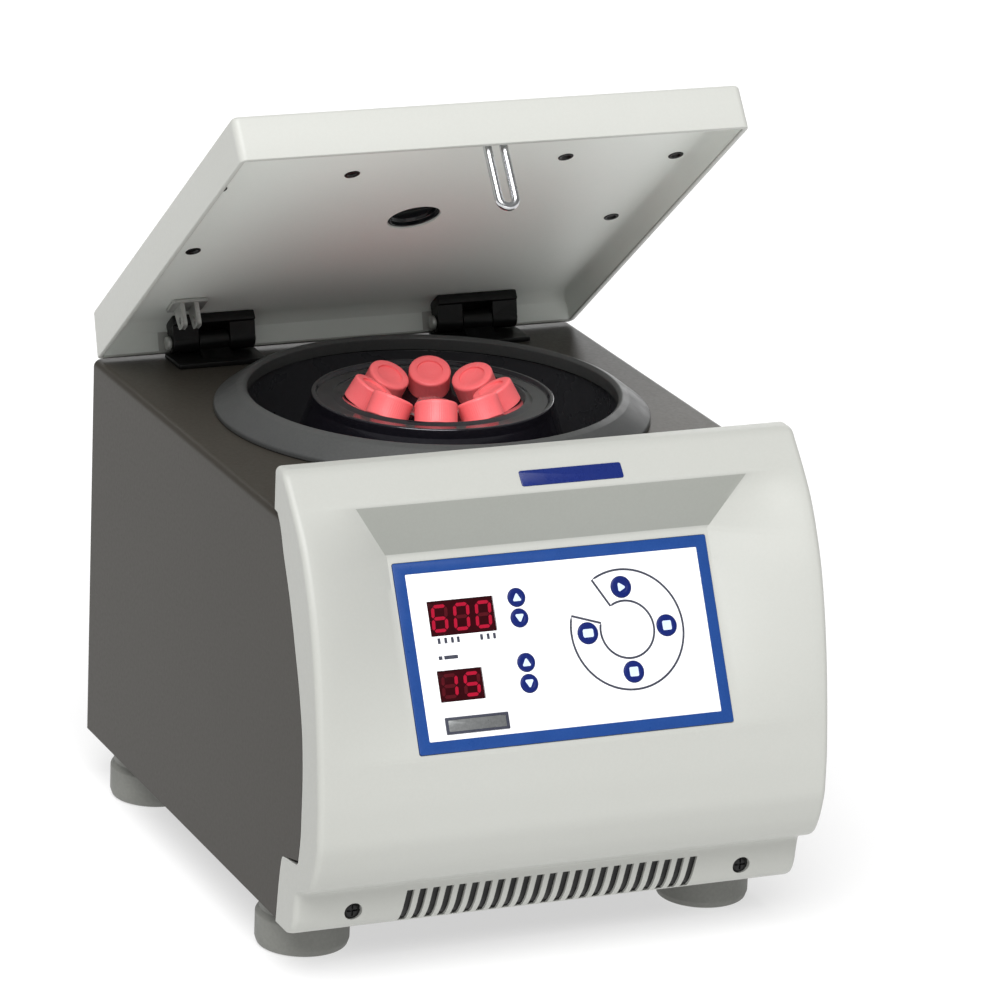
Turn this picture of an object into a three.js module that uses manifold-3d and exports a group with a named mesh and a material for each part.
// A bench centrifuge with an eight-place fixed-angle rotor, its lid standing open.
// Millimetres, +Z up. The front faces -Y, and the feet stand on Z = 0.

import * as THREE from 'three';
import Module from 'manifold-3d';
import { mergeVertices } from 'three/addons/utils/BufferGeometryUtils.js';

const wasm = await Module();
wasm.setup();

const degrees = THREE.MathUtils.degToRad;

// ---------------------------------------------------------------- driving dimensions

const GAP = 0.3;                    // clearance between touching pieces

// Housing
const HALF_WIDTH = 140;
const REAR_Y = 170.8;
const DECK_Z = 239.3;
const CASING_BOTTOM_Z = 28.2;
const SHEET = 1.5;
const BEND_RADIUS = 4;

// Front fascia: how far forward its face and its side flange reach at each height, as [z, y]
const FACE_CURVE = [
  [26.5, -136.5], [35, -144.2], [42, -145.5], [50, -147.1], [59, -164.5], [73, -170.5], [87, -174.6],
  [109, -173.6], [134, -170.6], [160, -166.2], [180, -161.5], [200, -155.2], [216, -148.5],
  [232, -139.5], [244.5, -128.5], [262, -111.5], [265.8, -107],
];
const FLANGE_CURVE = [
  [26.5, -119.5], [50, -122.5], [59, -127.2], [73, -148.5], [109, -150.5], [134, -149], [160, -142],
  [200, -126.1], [239.6, -106], [240.4, -98.5], [265.8, -98.5],
];
const FASCIA_WALL = 3.2;
const FASCIA_CORNER = 8;
const VENT_COUNT = 23;
const VENT_PITCH = 7.15;
const VENT_WIDTH = 3.9;
const VENT_Z = [29.5, 46];
const FASCIA_SCREW = { x: 108, z: 37.5, radius: 4.8 };

// Control panel, in its own plane: X across, Y up the panel, Z out of it
const PANEL = { width: 172, height: 97, y: -148.9, z: 171.3, tilt: degrees(61.9) };
const PANEL_BORDER = 6;
const BEZEL_DEPTH = 2;
const RECESS_MARGIN = 2;
const RECESS_TOP = { halfWidth: 106, y: -128.5, z: 244.5 };
const KEY_TRAVEL_ROOM = 0.7;
const ARROW_KEY_RADIUS = 4.8;
const ROUND_KEY_RADIUS = 5.6;
const ARROW_KEY_X = -22.2;
const KEY_RING = { x: 35.3, y: 4, radius: 21.8 };
const SPEED_DISPLAY = { x: -52.8, y: 19, width: 35.5, height: 17.5 };
const TIME_DISPLAY = { x: -58.6, y: -15.3, width: 24, height: 15.6 };

// Bowl and rotor share one upright axis
const AXIS_Y = 32.9;
const BOWL = { inner: 99, outer: 101, floorZ: 108, rimZ: 244, shaftHole: 15 };
const GASKET = { inner: 97.4, outer: 115, lipZ: 252.6 };
const TUBE_COUNT = 8;
const TUBE_TILT = degrees(29.5);
const TUBE_FIRST_ANGLE = degrees(-109.3);
const CAP_SEAT = { radius: 36.5, z: 242.5 };
const CAP = { radius: 11.25, height: 12.5, wall: 1.6 };
const TUBE = { radius: 8.5, wall: 1.1, below: 104, cone: 22, tip: 2.4, inCap: 9.5 };
const BORE_RADIUS = 8.95;
const SLEEVE_RADIUS = 11;
const ROTOR = { rimRadius: 64, rimZ: 249.3, skirtRadius: 95, skirtZ: 155, bottomZ: 136, hub: 14 };
const HUB_FACE_RADIUS = 25.5;
const CONE_RADIUS = 48.8;           // the dished top's cone, square to the tubes, ends here
const SHAFT_RADIUS = 6;
const MOTOR = { radius: 46, bottomZ: 44, topZ: 100 };

// Lid, in the frame of its hinge axis and as it lies when it is shut
const HINGE = { y: 159.5, z: 248.4 };
const LID_OPEN = degrees(37.9);
const LID = { frontY: -254.6, rearY: 11.5, rearSlant: 9, rimZ: -1.7, topZ: 22.6, wall: 3, corner: 4 };
const LINER_Z = 12.3;
const LINER_THICKNESS = 2;
const LINER_REAR_Y = 2;
const PORT_RADIUS = 14;
const STRIKER = { y: LID.frontY + 7, legX: 4.5, rod: 2, bottomZ: LID.rimZ - 34 };
const HINGE_X = 77;
const HINGE_WIDTH = 47;
const KNUCKLE_RADIUS = 5.5;
const PIN_RADIUS = 2.5;

// Lid lock under the deck
const LOCK_Y = HINGE.y + STRIKER.y;
const LOCK_SLOT = { halfX: 10, frontY: LOCK_Y - 6.4, rearY: LOCK_Y + 4.1 };
const PAWL = { y: -76.5, z: 229, reach: 13.5, drop: 10, open: degrees(32) };

const FOOT = { x: 113, frontY: -88.5, rearY: 134.5, radius: 25, height: 27.9 };

// Mains module on the rear panel
const REAR_PANEL_Y = 169.8;
const MAINS = { x: -94, z: 62, width: 32, height: 62 };
const SOCKET = { z: MAINS.z - 12, width: 24.5, height: 16.5, depth: 17 };
const ROCKER = { z: MAINS.z + 16, width: 20, height: 12, tilt: degrees(8) };

// ---------------------------------------------------------------- solids

function weld(geometry) {
  const bare = geometry.clone();
  for (const attribute of Object.keys(bare.attributes)) {
    if (attribute !== 'position') bare.deleteAttribute(attribute);
  }
  const merged = mergeVertices(bare, 1e-4);
  const index = merged.index.array;
  const kept = [];
  for (let i = 0; i < index.length; i += 3) {
    const [a, b, c] = index.slice(i, i + 3);
    if (a !== b && b !== c && c !== a) kept.push(a, b, c);
  }
  merged.setIndex(kept);
  return merged;
}

function toSolid(geometry) {
  const welded = weld(geometry);
  return new wasm.Manifold(new wasm.Mesh({
    numProp: 3,
    vertProperties: new Float32Array(welded.attributes.position.array),
    triVerts: new Uint32Array(welded.index.array),
  }));
}

function toGeometry(solid) {
  const { vertProperties, triVerts } = solid.getMesh();
  const geometry = new THREE.BufferGeometry();
  geometry.setAttribute('position', new THREE.BufferAttribute(vertProperties, 3));
  geometry.setIndex(new THREE.BufferAttribute(triVerts, 1));
  return geometry;
}

function join(first, ...others) {
  return toGeometry(others.reduce((body, other) => body.add(toSolid(other)), toSolid(first)));
}

function cut(first, ...tools) {
  return toGeometry(tools.reduce((body, tool) => body.subtract(toSolid(tool)), toSolid(first)));
}

function common(first, second) {
  return toGeometry(toSolid(first).intersect(toSolid(second)));
}

function block(x, y, z) {
  const geometry = new THREE.BoxGeometry(x[1] - x[0], y[1] - y[0], z[1] - z[0]);
  return geometry.translate((x[0] + x[1]) / 2, (y[0] + y[1]) / 2, (z[0] + z[1]) / 2);
}

function upright(radius, z, segments = 32) {
  const geometry = new THREE.CylinderGeometry(radius, radius, z[1] - z[0], segments);
  return geometry.rotateX(Math.PI / 2).translate(0, 0, (z[0] + z[1]) / 2);
}

function crosswise(radius, x, segments = 16) {
  const geometry = new THREE.CylinderGeometry(radius, radius, x[1] - x[0], segments);
  return geometry.rotateZ(Math.PI / 2).translate((x[0] + x[1]) / 2, 0, 0);
}

// A ring or disc turned about Z from [radius, z] points that run anticlockwise
function turned(points, segments = 32) {
  const profile = points.map(([radius, z]) => new THREE.Vector2(radius, z));
  return new THREE.LatheGeometry(profile, segments).rotateX(Math.PI / 2);
}

function outline(points) {
  return new THREE.Shape(points.map(([u, v]) => new THREE.Vector2(u, v)));
}

function extruded(shape, depth, curveSegments = 4) {
  return new THREE.ExtrudeGeometry(shape, { depth, bevelEnabled: false, curveSegments });
}

// A [y, z] outline drawn out along X
function alongX(points, x) {
  const turn = new THREE.Matrix4().makeBasis(
    new THREE.Vector3(0, 1, 0), new THREE.Vector3(0, 0, 1), new THREE.Vector3(1, 0, 0));
  return extruded(outline(points), x[1] - x[0]).applyMatrix4(turn).translate(x[0], 0, 0);
}

// An X-Z shape drawn out along Y
function alongY(shape, y) {
  const turn = new THREE.Matrix4().makeBasis(
    new THREE.Vector3(1, 0, 0), new THREE.Vector3(0, 0, 1), new THREE.Vector3(0, -1, 0));
  return extruded(shape, y[1] - y[0]).applyMatrix4(turn).translate(0, y[1], 0);
}

// A solid through rings of points, all with the same number of points, stacked up Z
function lofted(rings) {
  const count = rings[0].length;
  const positions = rings.flat(2);
  const index = [];
  for (let level = 0; level < rings.length - 1; level += 1) {
    for (let i = 0; i < count; i += 1) {
      const a = level * count + i;
      const b = level * count + (i + 1) % count;
      index.push(a, b, b + count, a, b + count, a + count);
    }
  }
  const top = (rings.length - 1) * count;
  for (let i = 1; i < count - 1; i += 1) {
    index.push(0, i + 1, i, top, top + i, top + i + 1);
  }
  const geometry = new THREE.BufferGeometry();
  geometry.setAttribute('position', new THREE.Float32BufferAttribute(positions, 3));
  geometry.setIndex(index);
  return geometry;
}

// The points of a rectangle with round corners, anticlockwise, at one height
function roundedRing(x, y, z, radius, steps = 3) {
  const corners = [
    [x[1] - radius, y[1] - radius, 0], [x[0] + radius, y[1] - radius, 90],
    [x[0] + radius, y[0] + radius, 180], [x[1] - radius, y[0] + radius, 270],
  ];
  return corners.flatMap(([cx, cy, start]) => Array.from({ length: steps + 1 }, (_, i) => {
    const angle = degrees(start + 90 * i / steps);
    return [cx + radius * Math.cos(angle), cy + radius * Math.sin(angle), z];
  }));
}

// ---------------------------------------------------------------- scene graph

const FINISHES = {
  casingPaint: ['#5b5954', 0.5, 0.3],
  fasciaPlastic: ['#cfd0ca', 0.5, 0],
  linerPlastic: ['#acada8', 0.6, 0],
  blueBorder: ['#2d5090', 0.4, 0],
  whiteOverlay: ['#f6f6fa', 0.35, 0],
  navyKey: ['#16286e', 0.4, 0],
  displayRed: ['#4a0a14', 0.15, 0],
  boardGreen: ['#1f5c38', 0.6, 0],
  bowlCoat: ['#37373c', 0.4, 0.2],
  softRubber: ['#4c4c4d', 0.7, 0],
  rotorBlack: ['#2c2c30', 0.25, 0.1],
  brightSteel: ['#c4c6c8', 0.25, 1],
  motorAlloy: ['#8d9094', 0.5, 0.8],
  blackPlastic: ['#141414', 0.5, 0],
  clearTube: ['#dfe4e6', 0.2, 0],
  redCap: ['#f25a5e', 0.45, 0],
  footRubber: ['#555553', 0.8, 0],
  smokedGlass: ['#20262a', 0.05, 0],
};

function add(parent, name, geometry, finish) {
  const [color, roughness, metalness] = FINISHES[finish];
  const clean = weld(geometry);
  clean.computeVertexNormals();
  const mesh = new THREE.Mesh(clean, new THREE.MeshStandardMaterial({ color, roughness, metalness }));
  mesh.name = name;
  parent.add(mesh);
  return mesh;
}

// ---------------------------------------------------------------- housing

function along(curve, z) {
  const next = Math.max(1, curve.findIndex(([level]) => level >= z));
  const [z0, y0] = curve[next - 1];
  const [z1, y1] = curve[next];
  return y0 + (y1 - y0) * (z - z0) / (z1 - z0);
}

// One level of the fascia: straight back edge, round front corners
function fasciaRing(z, inset, extraRear) {
  const level = THREE.MathUtils.clamp(z, FACE_CURVE[0][0], FACE_CURVE.at(-1)[0]);
  const front = along(FACE_CURVE, level) + inset;
  const rear = along(FLANGE_CURVE, level);
  const radius = Math.min(FASCIA_CORNER - inset, (rear - front) * 0.7);
  const half = HALF_WIDTH - inset;
  const arcSteps = 4;
  const ring = [[half, rear + extraRear, z], [-half, rear + extraRear, z]];
  for (const side of [-1, 1]) {
    for (let i = 0; i <= arcSteps; i += 1) {
      const angle = degrees(side < 0 ? 180 + 90 * i / arcSteps : 270 + 90 * i / arcSteps);
      const x = side * (half - radius) + radius * Math.cos(angle);
      ring.push([x, front + radius + radius * Math.sin(angle), z]);
    }
  }
  return ring;
}

function fasciaLevels(low, high) {
  const levels = [...FACE_CURVE, ...FLANGE_CURVE].map(([z]) => z);
  const inside = [...new Set(levels)].filter((z) => z > low && z < high);
  return [low, ...inside.sort((a, b) => a - b), high];
}

function panelPoint(x, y, z) {
  return new THREE.Vector3(x, y, z)
    .applyAxisAngle(new THREE.Vector3(1, 0, 0), PANEL.tilt)
    .add(new THREE.Vector3(0, PANEL.y, PANEL.z))
    .toArray();
}

// The recess that the panel lies in: a flat sloping floor, a steep face above it, and sides that
// flare out to the top. wall > 0 gives the outside of its walls.
function recessSolid(wall) {
  const halfX = PANEL.width / 2 + RECESS_MARGIN;
  const halfY = PANEL.height / 2 + RECESS_MARGIN;
  const floorZ = -BEZEL_DEPTH - GAP;
  const [, bottomY, bottomZ] = panelPoint(0, -halfY, floorZ);
  const [, kneeY, kneeZ] = panelPoint(0, halfY, floorZ);
  const top = RECESS_TOP;
  const ring = (z) => {
    const level = THREE.MathUtils.clamp(z, bottomZ, top.z);
    const rise = (level - bottomZ) / (top.z - bottomZ);
    const upper = Math.max(0, (level - kneeZ) / (top.z - kneeZ));
    const depth = upper > 0
      ? THREE.MathUtils.lerp(kneeY, top.y, upper)
      : THREE.MathUtils.mapLinear(level, bottomZ, kneeZ, bottomY, kneeY);
    const mouth = THREE.MathUtils.lerp(halfX, top.halfWidth, rise) + wall;
    const floor = THREE.MathUtils.lerp(halfX, top.halfWidth, upper) + wall;
    const face = Math.min(along(FACE_CURVE, level), depth);
    return [[mouth, -210, z], [mouth, face, z], [floor, depth + wall * 1.13, z],
      [-floor, depth + wall * 1.13, z], [-mouth, face, z], [-mouth, -210, z]];
  };
  const between = [...FACE_CURVE.map(([z]) => z), kneeZ].filter((z) => z > bottomZ && z < top.z - 1);
  const levels = [bottomZ - wall, ...between.sort((a, b) => a - b), top.z + wall];
  return lofted(levels.map(ring));
}

function panelBlock(x, y, z) {
  return block(x, y, z).rotateX(PANEL.tilt).translate(0, PANEL.y, PANEL.z);
}

function makeFascia() {
  const bottom = FACE_CURVE[0][0];
  const top = FACE_CURVE.at(-1)[0];
  const envelope = lofted(fasciaLevels(bottom, top).map((z) => fasciaRing(z, 0, 0)));
  const hollow = lofted(
    fasciaLevels(bottom - 5, top - FASCIA_WALL).map((z) => fasciaRing(z, FASCIA_WALL, 20)));
  const bandBack = block(
    [-HALF_WIDTH + 2, HALF_WIDTH - 2], [-101.5, -98.5], [DECK_Z + 1.2, top - 1]);
  const walls = common(recessSolid(FASCIA_WALL), envelope);
  const window = panelBlock([-76, 76], [-38, 38], [-12, 0]);
  const vents = Array.from({ length: VENT_COUNT }, (_, i) => {
    const x = (i - (VENT_COUNT - 1) / 2) * VENT_PITCH;
    return block([x - VENT_WIDTH / 2, x + VENT_WIDTH / 2], [-160, -128], VENT_Z);
  });
  const screwHoles = [-1, 1].map((side) => new THREE.CylinderGeometry(
    FASCIA_SCREW.radius, FASCIA_SCREW.radius, 30, 12)
    .translate(side * FASCIA_SCREW.x, -140, FASCIA_SCREW.z));
  const shell = join(cut(envelope, hollow), bandBack, walls);
  return cut(shell, recessSolid(0), window, ...vents, ...screwHoles);
}

function makeCasing() {
  const shape = new THREE.Shape();
  const inner = HALF_WIDTH - SHEET;
  const radius = BEND_RADIUS;
  shape.moveTo(-HALF_WIDTH, CASING_BOTTOM_Z);
  shape.lineTo(-inner, CASING_BOTTOM_Z);
  shape.absarc(-HALF_WIDTH + radius, DECK_Z - radius, radius - SHEET, Math.PI, Math.PI / 2, true);
  shape.absarc(HALF_WIDTH - radius, DECK_Z - radius, radius - SHEET, Math.PI / 2, 0, true);
  shape.lineTo(inner, CASING_BOTTOM_Z);
  shape.lineTo(HALF_WIDTH, CASING_BOTTOM_Z);
  shape.absarc(HALF_WIDTH - radius, DECK_Z - radius, radius, 0, Math.PI / 2, false);
  shape.absarc(-HALF_WIDTH + radius, DECK_Z - radius, radius, Math.PI / 2, Math.PI, false);
  const frontEdge = FLANGE_CURVE.filter(([z]) => z < DECK_Z).map(([z, y]) => [y + 0.5, z]);
  const frontCut = alongX([
    [-300, 10], [frontEdge[0][0], 10], ...frontEdge, [-105.3, DECK_Z + 1], [-105.3, 300], [-300, 300],
  ], [-200, 200]);
  const bowlHole = upright(BOWL.outer + 1.2, [DECK_Z - 10, DECK_Z + 10], 36).translate(0, AXIS_Y, 0);
  const lockSlot = block([-LOCK_SLOT.halfX, LOCK_SLOT.halfX], [LOCK_SLOT.frontY, LOCK_SLOT.rearY],
    [DECK_Z - 10, DECK_Z + 10]);
  return cut(alongY(shape, [-160, REAR_Y]), frontCut, bowlHole, lockSlot);
}

function makeRearPanel() {
  const half = HALF_WIDTH - SHEET - GAP;
  const plate = block([-half, half], [REAR_PANEL_Y - 2, REAR_PANEL_Y], [31, DECK_Z - SHEET - GAP - 2]);
  const mainsHole = block([MAINS.x - MAINS.width / 2 + 3, MAINS.x + MAINS.width / 2 - 3], [150, 180],
    [MAINS.z - MAINS.height / 2 + 3, MAINS.z + MAINS.height / 2 - 3]);
  const vents = Array.from({ length: 14 }, (_, i) => {
    const x = 10 + i * 7;
    return block([x, x + 3], [150, 180], [60, 110]);
  });
  return cut(plate, mainsHole, ...vents);
}

function makeBasePan() {
  const half = HALF_WIDTH - SHEET - GAP;
  const z = CASING_BOTTOM_Z + GAP;
  const inner = half - SHEET;
  const shape = outline([
    [-half, z], [half, z], [half, z + 14], [inner, z + 14], [inner, z + SHEET],
    [-inner, z + SHEET], [-inner, z + 14], [-half, z + 14],
  ]);
  return alongY(shape, [-118.5, REAR_Y - 3.6]);
}

function makeMainsInlet() {
  const halfX = MAINS.width / 2;
  const halfZ = MAINS.height / 2;
  const flange = block([MAINS.x - halfX, MAINS.x + halfX], [REAR_PANEL_Y + GAP, REAR_PANEL_Y + 3],
    [MAINS.z - halfZ, MAINS.z + halfZ]);
  const body = block([MAINS.x - halfX + 3.5, MAINS.x + halfX - 3.5], [REAR_PANEL_Y - 22, REAR_PANEL_Y + 1],
    [MAINS.z - halfZ + 3.5, MAINS.z + halfZ - 3.5]);
  const socket = block([MAINS.x - SOCKET.width / 2 + 1, MAINS.x + SOCKET.width / 2 - 1],
    [REAR_PANEL_Y + 3 - SOCKET.depth, REAR_PANEL_Y + 10],
    [SOCKET.z - SOCKET.height / 2, SOCKET.z + SOCKET.height / 2]);
  const rockerWell = block([MAINS.x - ROCKER.width / 2, MAINS.x + ROCKER.width / 2],
    [REAR_PANEL_Y - 12, REAR_PANEL_Y + 10],
    [ROCKER.z - ROCKER.height / 2 - 0.8, ROCKER.z + ROCKER.height / 2 + 0.8]);
  const pins = [[-7, -2], [0, 2], [7, -2]].map(([x, z]) => block(
    [MAINS.x + x - 1, MAINS.x + x + 1], [REAR_PANEL_Y - 16, REAR_PANEL_Y + 1],
    [SOCKET.z + z - 2, SOCKET.z + z + 2]));
  return join(cut(join(flange, body), socket, rockerWell), ...pins);
}

function makeRocker() {
  const half = ROCKER.height / 2;
  const lift = half * Math.tan(ROCKER.tilt);
  const profile = [[-6, -half + 1.5], [0, -half], [4 + lift, -half], [4, 0], [4 + lift, half], [0, half],
    [-6, half - 1.5]];
  const halfX = ROCKER.width / 2 - GAP;
  return alongX(profile, [-halfX, halfX]);
}

function makeFoot() {
  const { radius, height } = FOOT;
  return turned([
    [0, 0], [radius - 3, 0], [radius, 3], [radius, 19], [radius - 2, 21], [radius - 2, height], [0, height],
  ], 18);
}

function buildHousing(parent) {
  add(parent, 'outer_casing', makeCasing(), 'casingPaint');
  add(parent, 'rear_panel', makeRearPanel(), 'casingPaint');
  add(parent, 'base_pan', makeBasePan(), 'casingPaint');
  add(parent, 'front_fascia', makeFascia(), 'fasciaPlastic');
  add(parent, 'mains_inlet', makeMainsInlet(), 'blackPlastic');
  const rocker = add(parent, 'power_rocker', makeRocker(), 'blackPlastic');
  rocker.position.set(MAINS.x, REAR_PANEL_Y, ROCKER.z);
  rocker.rotation.x = -ROCKER.tilt;
  for (const [row, y] of [['front', FOOT.frontY], ['rear', FOOT.rearY]]) {
    for (const [side, sign] of [['left', -1], ['right', 1]]) {
      add(parent, `foot_${row}_${side}`, makeFoot(), 'footRubber').position.set(sign * FOOT.x, y, 0);
    }
  }
}

// ---------------------------------------------------------------- control panel

const KEYS = [
  ['speed_up_key', ARROW_KEY_X, 25.7, ARROW_KEY_RADIUS],
  ['speed_down_key', ARROW_KEY_X, 15.2, ARROW_KEY_RADIUS],
  ['time_up_key', ARROW_KEY_X, -7.5, ARROW_KEY_RADIUS],
  ['time_down_key', ARROW_KEY_X, -18.2, ARROW_KEY_RADIUS],
  ...['lid_key', 'start_key', 'stop_key', 'quick_spin_key'].map((name, i) => [
    name,
    KEY_RING.x + KEY_RING.radius * Math.cos(i * Math.PI / 2),
    KEY_RING.y + KEY_RING.radius * Math.sin(i * Math.PI / 2),
    ROUND_KEY_RADIUS,
  ]),
];

function displayBlock(display, grow, z) {
  const halfX = display.width / 2 + grow;
  const halfY = display.height / 2 + grow;
  return block([display.x - halfX, display.x + halfX], [display.y - halfY, display.y + halfY], z);
}

function makeOverlay() {
  const halfX = PANEL.width / 2 - PANEL_BORDER - GAP;
  const halfY = PANEL.height / 2 - PANEL_BORDER - GAP;
  const sheet = block([-halfX, halfX], [-halfY, halfY], [-BEZEL_DEPTH, -0.15]);
  const keyHoles = KEYS.map(([, x, y, radius]) => upright(radius + GAP, [-5, 5], 12).translate(x, y, 0));
  const windows = [SPEED_DISPLAY, TIME_DISPLAY].map((display) => displayBlock(display, GAP, [-5, 5]));
  return cut(sheet, ...keyHoles, ...windows);
}

function buildPanel(parent) {
  const panel = new THREE.Group();
  panel.position.set(0, PANEL.y, PANEL.z);
  panel.rotation.x = PANEL.tilt;
  parent.add(panel);
  const halfX = PANEL.width / 2;
  const halfY = PANEL.height / 2;
  const frame = cut(
    block([-halfX, halfX], [-halfY, halfY], [-BEZEL_DEPTH, 0]),
    block([-halfX + PANEL_BORDER, halfX - PANEL_BORDER], [-halfY + PANEL_BORDER, halfY - PANEL_BORDER],
      [-5, 5]));
  add(panel, 'keypad_bezel', frame, 'blueBorder');
  add(panel, 'keypad_overlay', makeOverlay(), 'whiteOverlay');
  add(panel, 'speed_display', displayBlock(SPEED_DISPLAY, 0, [-10.7, -0.8]), 'displayRed');
  add(panel, 'time_display', displayBlock(TIME_DISPLAY, 0, [-10.7, -0.8]), 'displayRed');
  add(panel, 'control_board', block([-74, 74], [-36, 36], [-12.6, -11]), 'boardGreen');
  for (const [name, x, y, radius] of KEYS) {
    const key = upright(radius, [-BEZEL_DEPTH - 2, KEY_TRAVEL_ROOM - 0.15], 12).translate(x, y, 0);
    add(panel, name, key, 'navyKey');
  }
}

// ---------------------------------------------------------------- bowl and drive

function makeBowl() {
  const { inner, outer, floorZ, rimZ, shaftHole } = BOWL;
  return turned([
    [shaftHole, floorZ], [outer - 6, floorZ], [outer, floorZ + 6], [outer, rimZ], [inner, rimZ],
    [inner, floorZ + 7], [outer - 7, floorZ + 2], [shaftHole, floorZ + 2], [shaftHole, floorZ],
  ], 36);
}

function makeGasket() {
  const { inner, outer, lipZ } = GASKET;
  const grooveZ = BOWL.rimZ + 0.4;
  const baseZ = DECK_Z + 0.4;
  return turned([
    [BOWL.outer + 0.7, baseZ], [outer, baseZ], [outer, baseZ + 2.4], [inner + 4.5, lipZ - 0.5],
    [inner + 1.5, lipZ], [inner, lipZ - 2], [inner, grooveZ], [BOWL.outer + 0.7, grooveZ],
    [BOWL.outer + 0.7, baseZ],
  ], 36);
}

function makeMotor() {
  const { radius, bottomZ, topZ } = MOTOR;
  return turned([
    [0, bottomZ], [radius, bottomZ], [radius, topZ - 4], [radius - 4, topZ], [SHAFT_RADIUS + 2, topZ],
    [SHAFT_RADIUS + 2, topZ - 12], [0, topZ - 12],
  ], 24);
}

function buildDrive(parent) {
  const drive = new THREE.Group();
  drive.position.y = AXIS_Y;
  parent.add(drive);
  const panTop = CASING_BOTTOM_Z + GAP + SHEET;
  add(drive, 'bowl', makeBowl(), 'bowlCoat');
  add(drive, 'bowl_gasket', makeGasket(), 'softRubber');
  add(drive, 'motor_housing', makeMotor(), 'motorAlloy');
  add(drive, 'motor_plate', block([-60, 60], [-60, 60], [39, MOTOR.bottomZ - GAP]), 'brightSteel');
  add(drive, 'motor_isolator', turned([
    [40, panTop + GAP], [52, panTop + GAP], [48, 34.5], [52, 38.7], [40, 38.7], [44, 34.5],
    [40, panTop + GAP],
  ], 16), 'softRubber');
}

// ---------------------------------------------------------------- rotor and tubes

// Puts a piece made along +Z from the cap seat at place i of the rotor
function seatMatrix(i) {
  const turn = new THREE.Matrix4().makeRotationZ(TUBE_FIRST_ANGLE + i * 2 * Math.PI / TUBE_COUNT);
  const place = new THREE.Matrix4().makeTranslation(CAP_SEAT.radius, 0, CAP_SEAT.z);
  const tilt = new THREE.Matrix4().makeRotationY(-TUBE_TILT);
  return turn.multiply(place).multiply(tilt);
}

function atSeat(i, geometry) {
  return geometry.applyMatrix4(seatMatrix(i));
}

// Height of the dished top at this radius: a cone that the caps sit on square
function coneZ(radius) {
  return CAP_SEAT.z - GAP + (radius - CAP_SEAT.radius) * Math.tan(TUBE_TILT);
}

function makeRotor() {
  const { rimRadius, rimZ, skirtRadius, skirtZ, bottomZ, hub } = ROTOR;
  const bore = SHAFT_RADIUS + 0.3;
  const hubZ = coneZ(HUB_FACE_RADIUS);
  const body = turned([
    [bore, bottomZ], [skirtRadius, bottomZ], [skirtRadius, skirtZ], [rimRadius + 0.6, rimZ - 5],
    [rimRadius, rimZ], [rimRadius - 2, rimZ], [rimRadius - 3.5, rimZ - 1.8],
    [CONE_RADIUS + 4, rimZ - 1.8], [CONE_RADIUS, coneZ(CONE_RADIUS)], [HUB_FACE_RADIUS, hubZ],
    [bore, hubZ], [bore, bottomZ],
  ], 32);
  const cavity = turned([
    [hub, bottomZ - 5], [skirtRadius - 4, bottomZ - 5], [skirtRadius - 4, skirtZ - 2],
    [rimRadius - 6, hubZ - 8], [hub, hubZ - 8], [hub, bottomZ - 5],
  ], 24);
  const places = Array.from({ length: TUBE_COUNT }, (_, i) => i);
  const sleeves = places.map((i) => atSeat(i, upright(SLEEVE_RADIUS, [-TUBE.below - 3, -5], 10)));
  const bores = places.map((i) => atSeat(i, turned([
    [0, -TUBE.below - 0.6], [TUBE.tip + 0.6, -TUBE.below - 0.6], [BORE_RADIUS, -TUBE.below + TUBE.cone],
    [BORE_RADIUS, 5], [0, 5],
  ], 12)));
  const seats = places.map((i) => atSeat(i, upright(CAP.radius + 0.7, [-GAP, 30], 14)));
  return cut(body, cut(cavity, ...sleeves), ...bores, ...seats);
}

function makeTube() {
  const { radius, wall, below, cone, tip, inCap } = TUBE;
  return turned([
    [0, -below], [tip, -below], [radius, -below + cone], [radius, inCap], [radius - wall, inCap],
    [radius - wall, -below + cone + 1], [0, -below + 5],
  ], 12);
}

function makeCap() {
  const { radius, height, wall } = CAP;
  const bore = TUBE.radius + 0.25;
  return turned([
    [bore, 0], [radius, 0], [radius, height - 0.8], [radius - 0.8, height], [0, height],
    [0, height - wall], [bore, height - wall], [bore, 0],
  ], 14);
}

function buildRotor(parent) {
  const spindle = new THREE.Group();
  spindle.position.y = AXIS_Y;
  parent.add(spindle);
  const nutZ = coneZ(HUB_FACE_RADIUS) + GAP;
  add(spindle, 'rotor', makeRotor(), 'rotorBlack');
  add(spindle, 'drive_shaft', upright(SHAFT_RADIUS, [MOTOR.topZ - 11.5, nutZ + 4.5], 24), 'brightSteel');
  const nut = cut(
    join(upright(13, [nutZ, nutZ + 3.5], 24), upright(9.5, [nutZ + 3, nutZ + 9], 6)),
    upright(SHAFT_RADIUS + 0.3, [nutZ - 5, nutZ + 5.5], 24));
  add(spindle, 'rotor_nut', nut, 'brightSteel');
  for (let i = 0; i < TUBE_COUNT; i += 1) {
    const place = new THREE.Group();
    place.applyMatrix4(seatMatrix(i));
    spindle.add(place);
    add(place, `tube_${i + 1}`, makeTube(), 'clearTube');
    add(place, `cap_${i + 1}`, makeCap(), 'redCap');
  }
}

// ---------------------------------------------------------------- lid

function lidRing(z, inset, chamfer = 0) {
  const slant = LID.rearSlant * (z - LID.rimZ) / (LID.topZ - LID.rimZ);
  const side = HALF_WIDTH - inset - chamfer;
  return roundedRing([-side, side], [LID.frontY + inset + chamfer, LID.rearY - slant - inset - chamfer],
    z, Math.max(LID.corner - inset - chamfer, 1));
}

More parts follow.
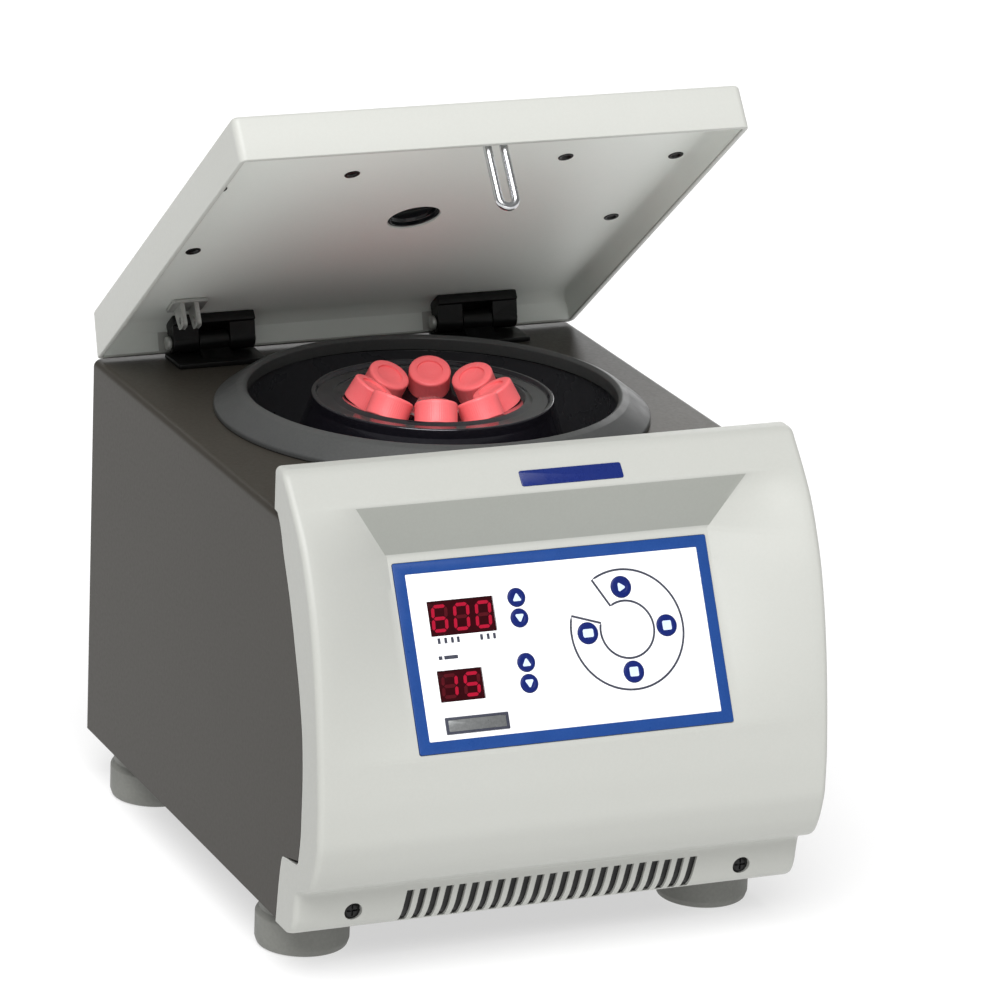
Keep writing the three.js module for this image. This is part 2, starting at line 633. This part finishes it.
function makeLidShell() {
  const outside = lofted([
    lidRing(LID.rimZ, 0), lidRing(LID.topZ - 3, 0), lidRing(LID.topZ - 0.9, 0.9), lidRing(LID.topZ, 3),
  ]);
  const inside = lofted([lidRing(LID.rimZ - 4, LID.wall), lidRing(LID.topZ - LID.wall, LID.wall)]);
  const port = upright(PORT_RADIUS + 1.4, [0, 40], 24).translate(0, AXIS_Y - HINGE.y, 0);
  return cut(outside, inside, port);
}

function makeLiner() {
  const half = HALF_WIDTH - LID.wall - 0.4;
  const plate = lofted([LINER_Z, LINER_Z + LINER_THICKNESS].map((z) => roundedRing(
    [-half, half], [LID.frontY + LID.wall + 0.4, LINER_REAR_Y], z, LID.corner - LID.wall + 1)));
  return cut(plate, upright(PORT_RADIUS + GAP, [0, 40], 24).translate(0, AXIS_Y - HINGE.y, 0));
}

function makeSightGlass() {
  return turned([
    [0, LINER_Z + 0.4], [PORT_RADIUS, LINER_Z + 0.4], [PORT_RADIUS, LID.topZ - 5],
    [PORT_RADIUS + 1, LID.topZ - 2.6], [PORT_RADIUS + 1, LID.topZ - 0.5], [0, LID.topZ - 0.5],
  ], 24);
}

function makeStriker() {
  const { legX, rod, bottomZ } = STRIKER;
  const path = new THREE.CurvePath();
  const turnZ = bottomZ + rod + legX;
  const bend = Array.from({ length: 7 }, (_, i) => {
    const angle = Math.PI + Math.PI * i / 6;
    return new THREE.Vector3(legX * Math.cos(angle), 0, turnZ + legX * Math.sin(angle));
  });
  const points = [new THREE.Vector3(-legX, 0, LINER_Z - 1), new THREE.Vector3(-legX, 0, -10), ...bend,
    new THREE.Vector3(legX, 0, -10), new THREE.Vector3(legX, 0, LINER_Z - 1)];
  path.add(new THREE.CatmullRomCurve3(points, false, 'centripetal'));
  const section = new THREE.Shape().absarc(0, 0, rod, 0, 2 * Math.PI, false);
  const staple = new THREE.ExtrudeGeometry(section, { steps: 24, extrudePath: path, curveSegments: 4 });
  const foot = block([-11, 11], [-3.4, 6], [LINER_Z - GAP - 2, LINER_Z - GAP]);
  return join(staple, foot).translate(0, STRIKER.y, 0);
}

function knuckle(x) {
  return crosswise(KNUCKLE_RADIUS, x, 12);
}

function pinHole() {
  return crosswise(PIN_RADIUS + 0.15, [-60, 60], 12);
}

// The lid's half of a hinge, about its own pin: a plate under the liner and two outer knuckles
function makeHingeLeaf() {
  const half = HINGE_WIDTH / 2;
  const plate = block([-half, half], [-17, 2], [KNUCKLE_RADIUS + GAP, LINER_Z - GAP]);
  const webs = [[-half, -9], [9, half]].flatMap((x) => [knuckle(x), block(x, [-5, 2], [0, LINER_Z - 2])]);
  return cut(join(plate, ...webs), pinHole());
}

// The housing's half: a plate on the deck and the middle knuckle
function makeHingeBase() {
  const half = HINGE_WIDTH / 2;
  const deck = DECK_Z - HINGE.z + GAP;
  const plate = block([-half - 2, half + 2], [-20, 4.2], [deck, deck + 2.6]);
  const web = block([-8.6, 8.6], [-4.5, 4.2], [deck + 1, 0]);
  return cut(join(plate, web, knuckle([-8.6, 8.6])), pinHole());
}

function makeStayBracket() {
  const z = LINER_Z - GAP;
  const plate = block([-107, -87], [-34, -20], [z - 2, z]);
  const ears = [[-103, -100.5], [-95, -92.5]].map((x) => alongX(
    [[-33, z - 1], [-31, z - 14], [-24, z - 14], [-21, z - 1]], x));
  return join(plate, ...ears);
}

function buildLid(parent) {
  const lid = new THREE.Group();
  lid.position.set(0, HINGE.y, HINGE.z);
  lid.rotation.x = -LID_OPEN;
  parent.add(lid);
  add(lid, 'lid_shell', makeLidShell(), 'fasciaPlastic');
  add(lid, 'lid_liner', makeLiner(), 'linerPlastic');
  add(lid, 'sight_glass', makeSightGlass().translate(0, AXIS_Y - HINGE.y, 0), 'smokedGlass');
  add(lid, 'lid_striker', makeStriker(), 'brightSteel');
  add(lid, 'lid_stay_bracket', makeStayBracket(), 'brightSteel');
  for (const [side, sign] of [['left', -1], ['right', 1]]) {
    add(lid, `hinge_leaf_${side}`, makeHingeLeaf(), 'blackPlastic').position.x = sign * HINGE_X;
    const base = add(parent, `hinge_base_${side}`, makeHingeBase(), 'blackPlastic');
    base.position.set(sign * HINGE_X, HINGE.y, HINGE.z);
    const pin = add(parent, `hinge_pin_${side}`, crosswise(PIN_RADIUS, [-26.5, 25], 12), 'brightSteel');
    pin.position.set(sign * HINGE_X, HINGE.y, HINGE.z);
  }
}

// ---------------------------------------------------------------- lid lock

function makeLockBody() {
  const topZ = DECK_Z - SHEET - GAP;
  const body = block([-15, 15], [LOCK_SLOT.frontY - 3, -70.6], [198, topZ]);
  const strikerRoom = block([-9.5, 9.5], [LOCK_SLOT.frontY, LOCK_SLOT.rearY], [205, topZ + 5]);
  const pawlRoom = block([-2.8, 2.8], [LOCK_SLOT.frontY, -72.4], [205, topZ + 5]);
  const pivot = crosswise(1.95, [-20, 20], 12).translate(0, PAWL.y, PAWL.z);
  return cut(body, strikerRoom, pawlRoom, pivot);
}

// Drawn hooked into the striker, about its own pivot
function makePawl() {
  const arm = alongX([
    [-2.6, 2.2], [-3, -PAWL.drop + 5], [-PAWL.reach, -PAWL.drop + 3], [-PAWL.reach, -PAWL.drop],
    [-4, -PAWL.drop - 1], [2.2, -3], [2.2, 2.2],
  ], [-2, 2]);
  return join(arm, crosswise(1.8, [-12, 12], 12));
}

function buildLock(parent) {
  add(parent, 'lock_body', makeLockBody(), 'blackPlastic');
  const pawl = add(parent, 'latch_pawl', makePawl(), 'brightSteel');
  pawl.position.set(0, PAWL.y, PAWL.z);
  pawl.rotation.x = PAWL.open;
}

// ---------------------------------------------------------------- the whole object

const centrifuge = new THREE.Group();
buildHousing(centrifuge);
buildPanel(centrifuge);
buildDrive(centrifuge);
buildRotor(centrifuge);
buildLid(centrifuge);
buildLock(centrifuge);

export default centrifuge;
